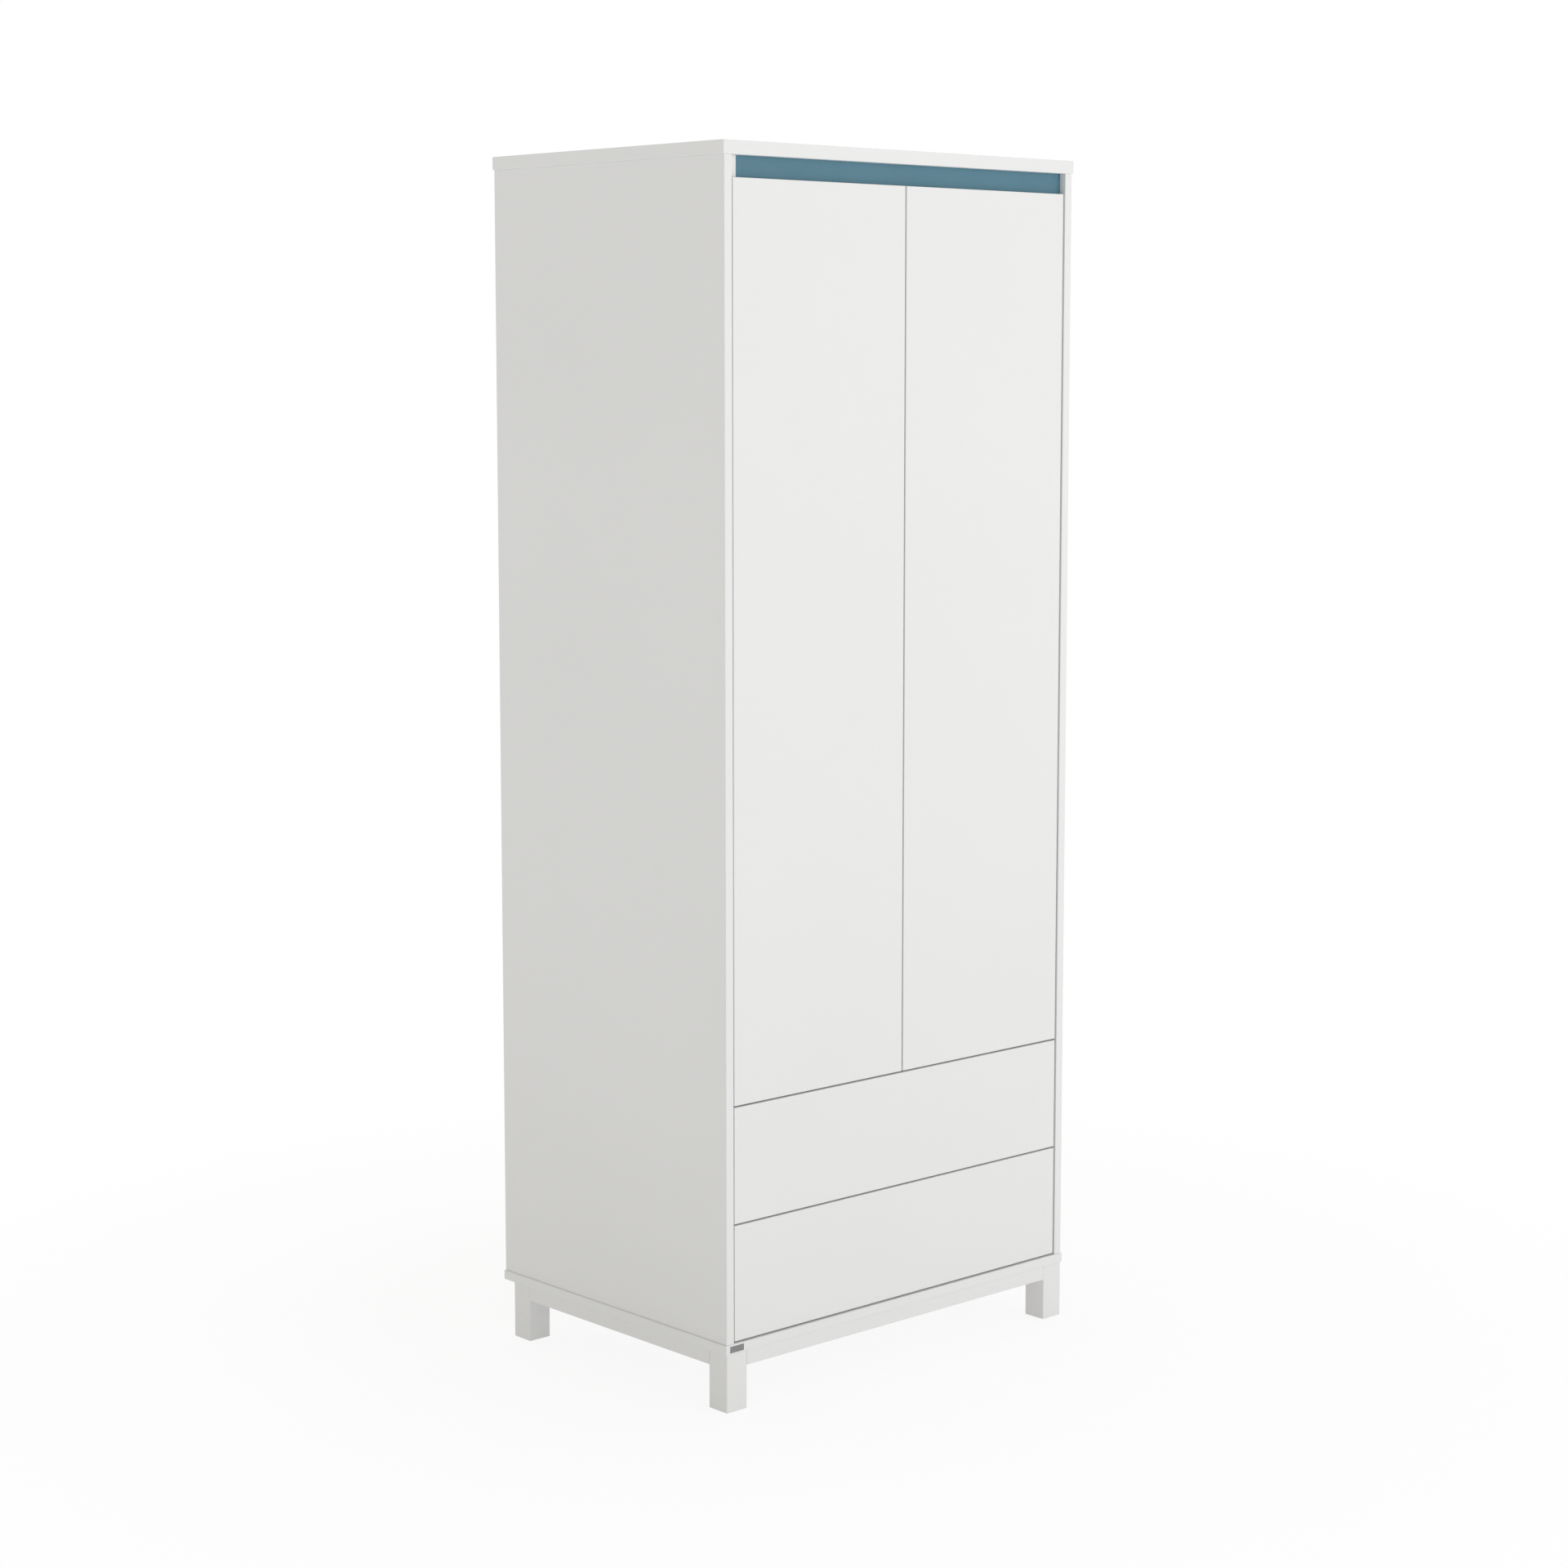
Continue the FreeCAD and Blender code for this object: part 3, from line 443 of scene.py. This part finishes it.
def screw(head_radius, head_height, shank_radius, depth):
    """A pan-head screw standing on z = 0, with a threaded shank below."""
    pitch = 1.6 * MM
    profile = [(0, -depth), (0.4 * shank_radius, -depth + pitch)]
    for turn in range(1, int(depth / pitch) - 1):
        height = -depth + pitch * (turn + 0.5)
        profile += [(THREAD_ROOT * shank_radius, height), (shank_radius, height + 0.5 * pitch)]
    profile += [(THREAD_ROOT * shank_radius, 0), (head_radius, 0), (head_radius, 0.35 * head_height),
                (0.86 * head_radius, 0.75 * head_height), (0.55 * head_radius, head_height),
                (0, head_height)]
    recess = cross(0.5 * head_radius, 0.11 * head_radius, head_height - CROSS_DEPTH, 2 * head_height)
    return carved(lathe(profile, 24), recess)


def long_axis(box):
    size = box[1] - box[0]
    return max(range(3), key=lambda axis: size[axis])


def screws(name, node, outward):
    """Each screw of a CAD node, with its head at the end that points outward."""
    copies = []
    for box in solids(node):
        axis = long_axis(box)
        out = outward(box)
        head_radius = (box[1] - box[0])[(axis + 1) % 3] / 2
        head_height = head_radius / 3
        end = middle(box)
        end[axis] = box[1][axis] if out[axis] > 0 else box[0][axis]
        length = box[1][axis] - box[0][axis] - head_height
        shape = screw(head_radius, head_height, head_radius * 2 / 3, length)
        seat = end - Vector(out) * head_height
        copies.append(moved(shape, facing(seat, out, upright(axis))))
    piece(name, copies, "cabinet", "zinc_steel", node)


def cams():
    """Die-cast cams with a ring and a cross in their faces."""
    copies = []
    for box in solids("cam_housings"):
        size = box[1] - box[0]
        axis = min(range(3), key=lambda index: size[index])
        radius = size[(axis + 1) % 3] / 2
        out = Vector((inward(box), 0, 0)) if axis == 0 else Vector((0, 0, -1))
        end = middle(box) + out * size[axis] / 2
        profile = [(0, -size[axis]), (radius, -size[axis]), (radius, -0.3 * MM),
                   (0.96 * radius, 0), (0.84 * radius, 0), (0.8 * radius, -0.5 * MM),
                   (0.68 * radius, -0.5 * MM), (0.64 * radius, -0.1 * MM), (0, -0.1 * MM)]
        shape = carved(lathe(profile), cross(0.5 * radius, 0.13 * radius, -2.5 * MM, MM))
        copies.append(moved(shape, facing(end, out, upright(axis))))
    piece("cams", copies, "cabinet", "zinc_steel", "cam_housings")


def shelf_supports():
    """Plated pins, each with a thin collar against the panel."""
    copies = []
    for box in solids("shelf_pins"):
        side = inward(box)
        radius = (box[1].z - box[0].z) / 2
        half = (box[1].x - box[0].x) / 2
        profile = [(0, -half), (0.85 * radius, -half), (radius, -half + 0.6 * MM), (radius, 0),
                   (1.7 * radius, 0), (1.7 * radius, 0.7 * MM), (radius, 0.8 * MM),
                   (radius, half - 0.8 * MM), (0.7 * radius, half), (0, half)]
        copies.append(moved(lathe(profile, 24), facing(middle(box), (side, 0, 0))))
    piece("shelf_supports", copies, "cabinet", "zinc_steel", "shelf_pins")


# ---------------------------------------------------------------- hinges
ARM_THICKNESS = 6 * MM
ARM_SCREWS = (24 * MM, 37 * MM)  # their places along an arm, from its pin end
PIN_INSET = 3 * MM
PIN_RADIUS = 1.5 * MM
PIN_HEAD = 0.4 * MM


def hinge_mounts():
    """Cross-shaped mounting plates, stepped and rounded like pressings."""
    copies = []
    for box in solids("hinge_plates"):
        side = inward(box)
        size = box[1] - box[0]
        long, tall = size.y / 2, size.z / 2
        arm, wing = 0.28 * tall, 0.1 * long
        corners = [(-long, -tall, 4 * MM), (wing, -tall, 4 * MM), (wing, -arm, 2 * MM),
                   (long, -arm, 3 * MM), (long, arm, 3 * MM), (wing, arm, 2 * MM),
                   (wing, tall, 4 * MM), (-long, tall, 4 * MM)]
        if side < 0:
            corners = [(-x, y, radius) for x, y, radius in reversed(corners)]
        plate = prism(rounded(corners), -size.x / 2, size.x / 2)
        copies.append(moved(plate, facing(middle(box), (side, 0, 0))))
    piece("hinge_mounts", copies, "cabinet", "zinc_steel", "hinge_plates", bevel=0.5 * MM)


def hinge_arm(size):
    """One arm of the left door, from the lowest corner of its box: foot, neck and forked nose."""
    thick, nose, reach = ARM_THICKNESS, 6 * MM, 10 * MM
    corners = [(0, reach, 2 * MM), (size.x - nose, reach, 2.5 * MM), (size.x - nose, 0, 2.9 * MM),
               (size.x, 0, 2.9 * MM), (size.x, reach + thick, 4 * MM),
               (thick, reach + thick, 2.5 * MM), (thick, size.y, 2.5 * MM),
               (0, size.y, 0.4 * MM)]
    bar = prism(rounded(corners), 0, size.z)
    past, fork_depth, fork_top, half_gap = 3 * MM, 9 * MM, 6.3 * MM, 3.5 * MM
    left, right = size.x - fork_depth, size.x + past
    slot = prism([(left, -past), (right, -past), (right, fork_top), (left, fork_top)],
                 size.z / 2 - half_gap, size.z / 2 + half_gap)
    left, right, low, high = 0.3 * size.x, 0.75 * size.x, 0.36 * size.z, 0.64 * size.z
    oval = [(x, y, 1.6 * MM) for x, y in ((left, low), (right, low), (right, high), (left, high))]
    window_depth = 1.2 * MM
    window = moved(prism(rounded(oval), -window_depth, window_depth),
                   facing(Vector((0, reach, 0)), (0, -1, 0)) @ Matrix.Diagonal((-1, 1, 1, 1)))
    return carved(bar, slot, window)


def hinge_arms():
    """An arm for each hinge, with its riveted pin and two screws. The right door's are mirrored."""
    arms, fixings = [], []
    rivet = 2.1 * MM
    for box in solids("hinge_arms"):
        side = inward(box)
        size = box[1] - box[0]
        corner = Vector((box[0].x if side > 0 else box[1].x, box[0].y, box[0].z))
        hand = Matrix.Translation(corner) @ Matrix.Diagonal((side, 1, 1, 1))
        arms.append(moved(hinge_arm(size), hand))
        pin = lathe([(0, -PIN_HEAD), (1.9 * MM, -PIN_HEAD), (rivet, 0), (PIN_RADIUS, 0),
                     (PIN_RADIUS, size.z), (rivet, size.z), (1.9 * MM, size.z + PIN_HEAD),
                     (0, size.z + PIN_HEAD)], 20)
        arms.append(moved(pin, hand @ Matrix.Translation((size.x - PIN_INSET, PIN_INSET, 0))))
        for along in ARM_SCREWS:
            spot = hand @ Vector((ARM_THICKNESS, along, size.z / 2))
            fixings.append(moved(screw(3.6 * MM, 1.3 * MM, 2 * MM, 5 * MM),
                                 facing(spot, (side, 0, 0))))
    piece("hinge_arm_pressings", arms, "cabinet", "zinc_steel", "hinge_arms", bevel=0.35 * MM)
    piece("hinge_arm_screws", fixings, "cabinet", "zinc_steel")


def hinge_cups(door):
    """Pressed cups with a rounded flange and the two screws that hold it to the door."""
    node = f"{door}_hinge_cups"
    bowls, fixings = [], []
    for box in solids(node):
        size = box[1] - box[0]
        radius = size.x / 2
        flange = 1.2 * MM
        depth = size.y - flange
        wall = 1 * MM
        bowl = lathe([(0, -depth), (radius - 1.2 * MM, -depth), (radius, -depth + 1.2 * MM),
                      (radius, -0.3 * MM), (radius - 0.3 * MM, 0), (radius - wall, -0.3 * MM),
                      (radius - wall, -depth + 2.2 * MM), (radius - 2.2 * MM, -depth + wall),
                      (0, -depth + wall)], 48)
        across, tall, turn = 11 * MM, size.z / 2, 7 * MM
        hole = lathe([(0, -2 * MM), (radius - wall, -2 * MM), (radius - wall, 4 * MM),
                      (0, 4 * MM)], 48)
        plate = carved(prism(rectangle(across, tall, turn), 0, flange), hole)
        place = middle(box)
        place.y = box[1].y - flange
        stand = facing(place, (0, 1, 0))
        bowls += [moved(bowl, stand), moved(plate, stand)]
        for rise in (-0.8 * tall, 0.8 * tall):
            spot = stand @ Matrix.Translation((0, rise, flange))
            fixings.append(moved(screw(3.5 * MM, 1.1 * MM, 2 * MM, 6 * MM), spot))
    piece(f"{door}_cup_pressings", bowls, f"{door}_door", "zinc_steel", node)
    piece(f"{door}_cup_screws", fixings, f"{door}_door", "zinc_steel")


def bumpers(door):
    """Clear self-adhesive domes where the door closes on the deck and the rail."""
    node = f"{door}_door_bumpers"
    domes = []
    for box in solids(node):
        size = box[1] - box[0]
        radius, height = size.x / 2, size.y
        base = middle(box)
        base.y = box[0].y
        dome = lathe([(0, 0), (radius, 0), (radius, 0.35 * height), (0.92 * radius, 0.62 * height),
                      (0.72 * radius, 0.86 * height), (0.4 * radius, height), (0, height)])
        domes.append(moved(dome, facing(base, (0, 1, 0))))
    piece(f"{door}_bumper_domes", domes, f"{door}_door", "clear_rubber", node)


# ---------------------------------------------------------------- runners, glides and plate
def runners(name, node, body, opens_inward):
    """Rolled steel members, with the bends rounded."""
    wall = 1.2 * MM
    lengths = []
    for box in solids(node):
        size = box[1] - box[0]
        wide, tall = size.x, size.z / 2
        open_side = inward(box) * (1 if opens_inward else -1)
        bend, inner = 2.4 * MM, 1.2 * MM
        corners = [(0, -tall, bend), (wide, -tall, 0.4 * MM), (wide, -tall + wall, 0.4 * MM),
                   (wall, -tall + wall, inner), (wall, tall - wall, inner),
                   (wide, tall - wall, 0.4 * MM), (wide, tall, 0.4 * MM), (0, tall, bend)]
        section = prism(rounded(corners, 4), 0, size.y)
        web = Vector((box[0].x if open_side > 0 else box[1].x, box[0].y, middle(box).z))
        along = Matrix.Translation(web) @ Matrix(((open_side, 0, 0, 0), (0, 0, 1, 0),
                                                  (0, 1, 0, 0), (0, 0, 0, 1)))
        lengths.append(moved(section, along))
    piece(name, lengths, body, "zinc_steel", node)


def latches():
    """Push latches: slim cases with softened corners, bored for their plungers.

    Each bore ends two travels behind the resting plunger, which leaves room for its spring.
    """
    clearance, travel, turn = 0.05 * MM, 3 * MM, 1.5 * MM
    low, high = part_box("upper_latch_plunger")
    bore_radius = (high.x - low.x) / 2 + clearance
    bore_end = high.y + 2 * travel
    cases = []
    for box in solids("latch_housings"):
        size = box[1] - box[0]
        wide, tall, bore_depth = size.x / 2, size.z / 2, bore_end - box[0].y
        block = prism(rectangle(wide, tall, turn), 0, size.y)
        bore = lathe([(0, -MM), (bore_radius, -MM), (bore_radius, bore_depth), (0, bore_depth)])
        front = middle(box)
        front.y = box[0].y
        cases.append(moved(carved(block, bore), facing(front, (0, 1, 0))))
    piece("latch_cases", cases, "cabinet", "white_plastic", "latch_housings", bevel=0.4 * MM)


def plunger(drawer):
    """A round plunger with a domed tip and one groove."""
    low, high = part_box(f"{drawer}_latch_plunger")
    radius, length = (high.x - low.x) / 2, high.y - low.y
    profile = [(0, 0), (0.5 * radius, 0.1 * MM), (0.8 * radius, 0.5 * MM), (radius, 1.4 * MM),
               (radius, 3.6 * MM), (0.86 * radius, 3.8 * MM), (0.86 * radius, 4.4 * MM),
               (radius, 4.6 * MM), (radius, length), (0, length)]
    tip = Vector(((low.x + high.x) / 2, low.y, (low.z + high.z) / 2))
    piece(f"{drawer}_latch_pin", [moved(lathe(profile), facing(tip, (0, 1, 0)))],
          f"{drawer}_plunger", "grey_plastic", f"{drawer}_latch_plunger")


def glides():
    """Nail-on discs under the legs, rounded at the rim."""
    discs = []
    for box in solids("leg_glides"):
        radius, height = (box[1].x - box[0].x) / 2, box[1].z - box[0].z
        profile = [(0, 0), (0.9 * radius, 0), (0.98 * radius, 0.25 * height),
                   (radius, 0.6 * height), (radius, height), (0, height)]
        base = middle(box)
        base.z = box[0].z
        discs.append(moved(lathe(profile, 48), Matrix.Translation(base)))
    piece("glide_discs", discs, "cabinet", "white_plastic", "leg_glides")


def blank_plate():
    """A small metal plate with a raised rim and nothing on it."""
    low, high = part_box("nameplate")
    size = high - low
    turn = 0.8 * MM
    corners = [(0, 0, turn), (size.x, 0, turn), (size.x, size.z, turn), (0, size.z, turn)]
    shape = prism(rounded(corners), 0, size.y)
    shape.faces.ensure_lookup_table()
    roof = max(shape.faces, key=lambda face: face.calc_center_median().z)
    bmesh.ops.inset_region(shape, faces=[roof], thickness=0.7 * MM, depth=0)
    bmesh.ops.inset_region(shape, faces=[roof], thickness=0.15 * MM, depth=-0.25 * MM)
    stand = facing(Vector((low.x, high.y, low.z)), (0, -1, 0))
    piece("blank_plate", [moved(shape, stand)], "cabinet", "grey_plate", "nameplate", smooth=5)


# ---------------------------------------------------------------- boards
TOUCH = 0.01 * MM
FLAT = math.radians(0.5)
ALONG_X, ALONG_Y, ALONG_Z, EVERY_EDGE = (0,), (1,), (2,), (0, 1, 2)


def eased(node, body, slot, width, axes):
    """A board with its outer edges along the given axes rounded, as edging or sanding leaves them."""
    low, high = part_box(node)
    shape = welded(node)
    bmesh.ops.dissolve_limit(shape, angle_limit=FLAT, verts=shape.verts, edges=shape.edges)
    weight = shape.edges.layers.float.new("bevel_weight_edge")
    for edge in shape.edges:
        start, end = (vertex.co for vertex in edge.verts)
        outer = [axis for axis in range(3) if abs(start[axis] - end[axis]) < TOUCH
                 and min(abs(start[axis] - low[axis]), abs(start[axis] - high[axis])) < TOUCH]
        along = 3 - sum(outer)  # the axis left over from 0, 1 and 2
        if len(outer) == 2 and along in axes:
            edge[weight] = 1
    made = object_of(f"{node}_eased", shape)
    made.data.materials.append(MATERIALS[slot])
    made.data.polygons.foreach_set("use_smooth", [False] * len(made.data.polygons))
    rounding = made.modifiers.new("rounding", "BEVEL")
    rounding.limit_method = "WEIGHT"
    rounding.width = width
    rounding.segments = 2
    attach(made, body)
    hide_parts(node)


def carcase():
    """The boards of the cabinet, with its four legs and aprons."""
    for board in ("top_board", "bottom_board"):
        eased(board, "cabinet", "white_board", 0.8 * MM, EVERY_EDGE)
    for board in ("drawer_deck", "hat_shelf"):
        eased(board, "cabinet", "white_board", 0.5 * MM, ALONG_X)
    for side in ("left", "right"):
        eased(f"{side}_side_panel", "cabinet", "white_board", 0.5 * MM, ALONG_Z)
        eased(f"{side}_apron", "cabinet", "white_lacquer", 0.7 * MM, ALONG_Y)
    for end in ("front", "back"):
        eased(f"{end}_apron", "cabinet", "white_lacquer", 0.7 * MM, ALONG_X)
        for side in ("left", "right"):
            eased(f"{end}_{side}_leg", "cabinet", "white_lacquer", 1 * MM, ALONG_Z)


def fronts_and_drawer_sides():
    for side in ("left", "right"):
        eased(f"{side}_door_panel", f"{side}_door", "white_board", 0.4 * MM, EVERY_EDGE)
    for drawer in ("upper", "lower"):
        body = f"{drawer}_drawer"
        eased(f"{body}_front", body, "white_board", 0.4 * MM, EVERY_EDGE)
        for side in ("left", "right"):
            eased(f"{body}_{side}_side", body, "white_board", 0.5 * MM, ALONG_Y)


carcase()
fronts_and_drawer_sides()
screws("panel_screws", "euro_screws", lambda box: (inward(box), 0, 0))
screws("bracket_screws", "wall_bracket_screws", lambda box: (0, 0, -1))
screws("block_screws", "corner_block_screws", lambda box: (0, 0, -1))
cams()
shelf_supports()
hinge_mounts()
hinge_arms()
for door in ("left", "right"):
    hinge_cups(door)
    bumpers(door)
runners("outer_runners", "cabinet_runners", "cabinet", True)
for drawer in ("upper", "lower"):
    runners(f"{drawer}_centre_runners", f"{drawer}_middle_runners", f"{drawer}_middle", True)
    runners(f"{drawer}_box_runners", f"{drawer}_drawer_runners", f"{drawer}_drawer", False)
    plunger(drawer)
latches()
glides()
blank_plate()


# ---------------------------------------------------------------- floor, light and camera
LIT, SEEN = 0.35, 0.88
FADE_FROM, FADE_TO = 0.5, 1.9


def floor():
    """A pale floor that clears to white away from the wardrobe.

    Near the wardrobe the white glow's share is SEEN to the camera and LIT as light on the pieces.
    It rises to all of it between FADE_FROM and FADE_TO from the middle.
    """
    shader = Shader("pale_floor", Roughness=0.7)
    reach = shader.node("ShaderNodeVectorMath", {0: shader.coordinates.outputs["Object"]},
                        operation="LENGTH").outputs["Value"]
    shader.plug(Base_Color=shader.blend(shader.noise(1.5), (0.88, 0.88, 0.875), (0.9, 0.9, 0.895)))
    glow = shader.node("ShaderNodeEmission", {"Color": (1, 1, 1, 1), "Strength": 1.0})
    paths = shader.node("ShaderNodeLightPath", {})
    near = shader.remap(paths.outputs["Is Camera Ray"], LIT, SEEN, 0, 1)
    fade = shader.remap(reach, near, 1, FADE_FROM, FADE_TO)
    mixed = shader.node("ShaderNodeMixShader", {0: fade, 1: shader.surface.outputs[0],
                                                2: glow.outputs[0]})
    shader.tree.links.new(mixed.outputs[0], shader.tree.nodes["Material Output"].inputs["Surface"])
    bpy.ops.mesh.primitive_circle_add(vertices=96, radius=60, fill_type="NGON")
    ground = bpy.context.object
    ground.name = "floor"
    ground.data.materials.append(shader.material)


def surroundings():
    """White all round to look at. As light it is weaker, and weakest and warmest from the left."""
    world = bpy.data.worlds.new("studio")
    bpy.context.scene.world = world
    world.use_nodes = True
    tree = world.node_tree
    tree.nodes.clear()
    direction = tree.nodes.new("ShaderNodeTexCoord")
    sides = tree.nodes.new("ShaderNodeSeparateXYZ")
    tree.links.new(direction.outputs["Generated"], sides.inputs[0])
    ramp = tree.nodes.new("ShaderNodeMapRange")
    ramp.interpolation_type = "SMOOTHSTEP"
    for socket, value in (("From Min", -1.0), ("From Max", 0.6), ("To Min", 0.0), ("To Max", 1.0)):
        ramp.inputs[socket].default_value = value
    tree.links.new(sides.outputs["X"], ramp.inputs["Value"])
    tint = tree.nodes.new("ShaderNodeMix")
    tint.data_type = "RGBA"
    tint.inputs[FIRST_COLOUR].default_value = (0.53, 0.521, 0.484, 1)
    tint.inputs[SECOND_COLOUR].default_value = (0.81, 0.81, 0.82, 1)
    tree.links.new(ramp.outputs["Result"], tint.inputs[FACTOR])
    lit = tree.nodes.new("ShaderNodeBackground")
    tree.links.new(tint.outputs[MIXED_COLOUR], lit.inputs["Color"])
    seen = tree.nodes.new("ShaderNodeBackground")
    seen.inputs["Color"].default_value = (1, 1, 1, 1)
    paths = tree.nodes.new("ShaderNodeLightPath")
    mixed = tree.nodes.new("ShaderNodeMixShader")
    tree.links.new(paths.outputs["Is Camera Ray"], mixed.inputs[0])
    tree.links.new(lit.outputs[0], mixed.inputs[1])
    tree.links.new(seen.outputs[0], mixed.inputs[2])
    output = tree.nodes.new("ShaderNodeOutputWorld")
    tree.links.new(mixed.outputs[0], output.inputs["Surface"])


def softbox(name, place, target, size, power):
    """A square area light, size metres wide, aimed at the target."""
    light = bpy.data.lights.new(name, "AREA")
    light.shape = "SQUARE"
    light.size = size
    light.energy = power
    holder = bpy.data.objects.new(name, light)
    bpy.context.scene.collection.objects.link(holder)
    holder.location = place
    holder.rotation_euler = (Vector(target) - Vector(place)).to_track_quat("-Z", "Y").to_euler()


LENS, SHIFT = 72.28, -0.03
STANDPOINT = (-3.6886, -4.0196, 1.707)
DEGREES_DOWN, DEGREES_RIGHT = 6.8035, 42.508


def photographer():
    """The camera, turned and tipped to the photograph's viewing angle."""
    data = bpy.data.cameras.new("camera")
    data.sensor_width = 36
    data.lens = LENS
    data.shift_y = SHIFT
    camera = bpy.data.objects.new("camera", data)
    bpy.context.scene.collection.objects.link(camera)
    camera.location = STANDPOINT
    camera.rotation_euler = (math.radians(90 - DEGREES_DOWN), 0, math.radians(-DEGREES_RIGHT))
    bpy.context.scene.camera = camera


floor()
surroundings()
softbox("key", place=(1.6, -4.5, 2.2), target=(0, 0, 0.9), size=3.0, power=40)
softbox("overhead", place=(0, 0, 5), target=(0, 0, 2), size=1.2, power=16)
photographer()
bpy.context.scene.view_settings.view_transform = "Standard"
